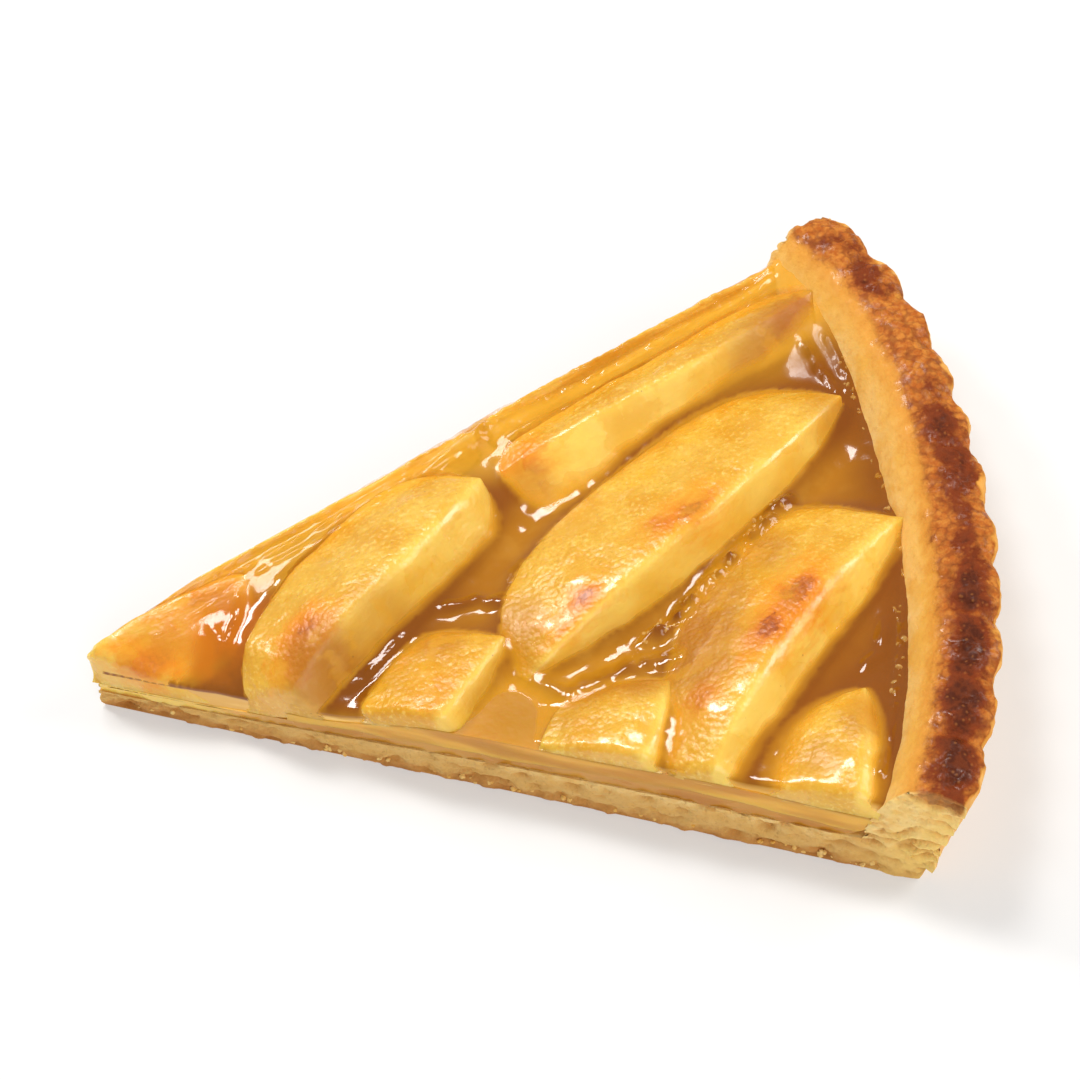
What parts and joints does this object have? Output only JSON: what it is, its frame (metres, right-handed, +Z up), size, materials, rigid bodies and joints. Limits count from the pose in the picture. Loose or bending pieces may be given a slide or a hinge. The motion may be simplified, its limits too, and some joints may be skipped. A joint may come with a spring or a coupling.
{
  "type": "apple tart slice",
  "caption": "Wedge-shaped slice of glazed apple tart with a fluted shortcrust rim, a syrup band, a cooked fruit layer and thick apple slices on top.",
  "frame": {"origin": "on the surface that the slice rests on, under the middle of its box", "axes": "+X from the point towards the fluted rim along the slice's middle line, +Y towards the cut that is at the back in the picture, +Z up"},
  "size_m": [0.1297, 0.1097, 0.0208],
  "materials": {
    "pastry": "baked shortcrust, golden with a browned, blistered rim",
    "syrup": "set amber syrup, glossy where it is cut",
    "fruit_layer": "pale cooked apple, moist where it is cut",
    "cooked_fruit": "cooked apple under a clear amber glaze"
  },
  "bodies": {
    "root": {"crust": "pastry", "syrup_layer": "syrup", "fruit_layer": "fruit_layer", "slice_centre": "cooked_fruit", "slice_right": "cooked_fruit", "slice_left": "cooked_fruit", "slice_back": "cooked_fruit", "slice_front_left": "cooked_fruit", "slice_front_centre": "cooked_fruit", "slice_front_right": "cooked_fruit", "slice_tip": "cooked_fruit", "strip_near": "cooked_fruit", "strip_far": "cooked_fruit"}
  },
  "joints": []
}
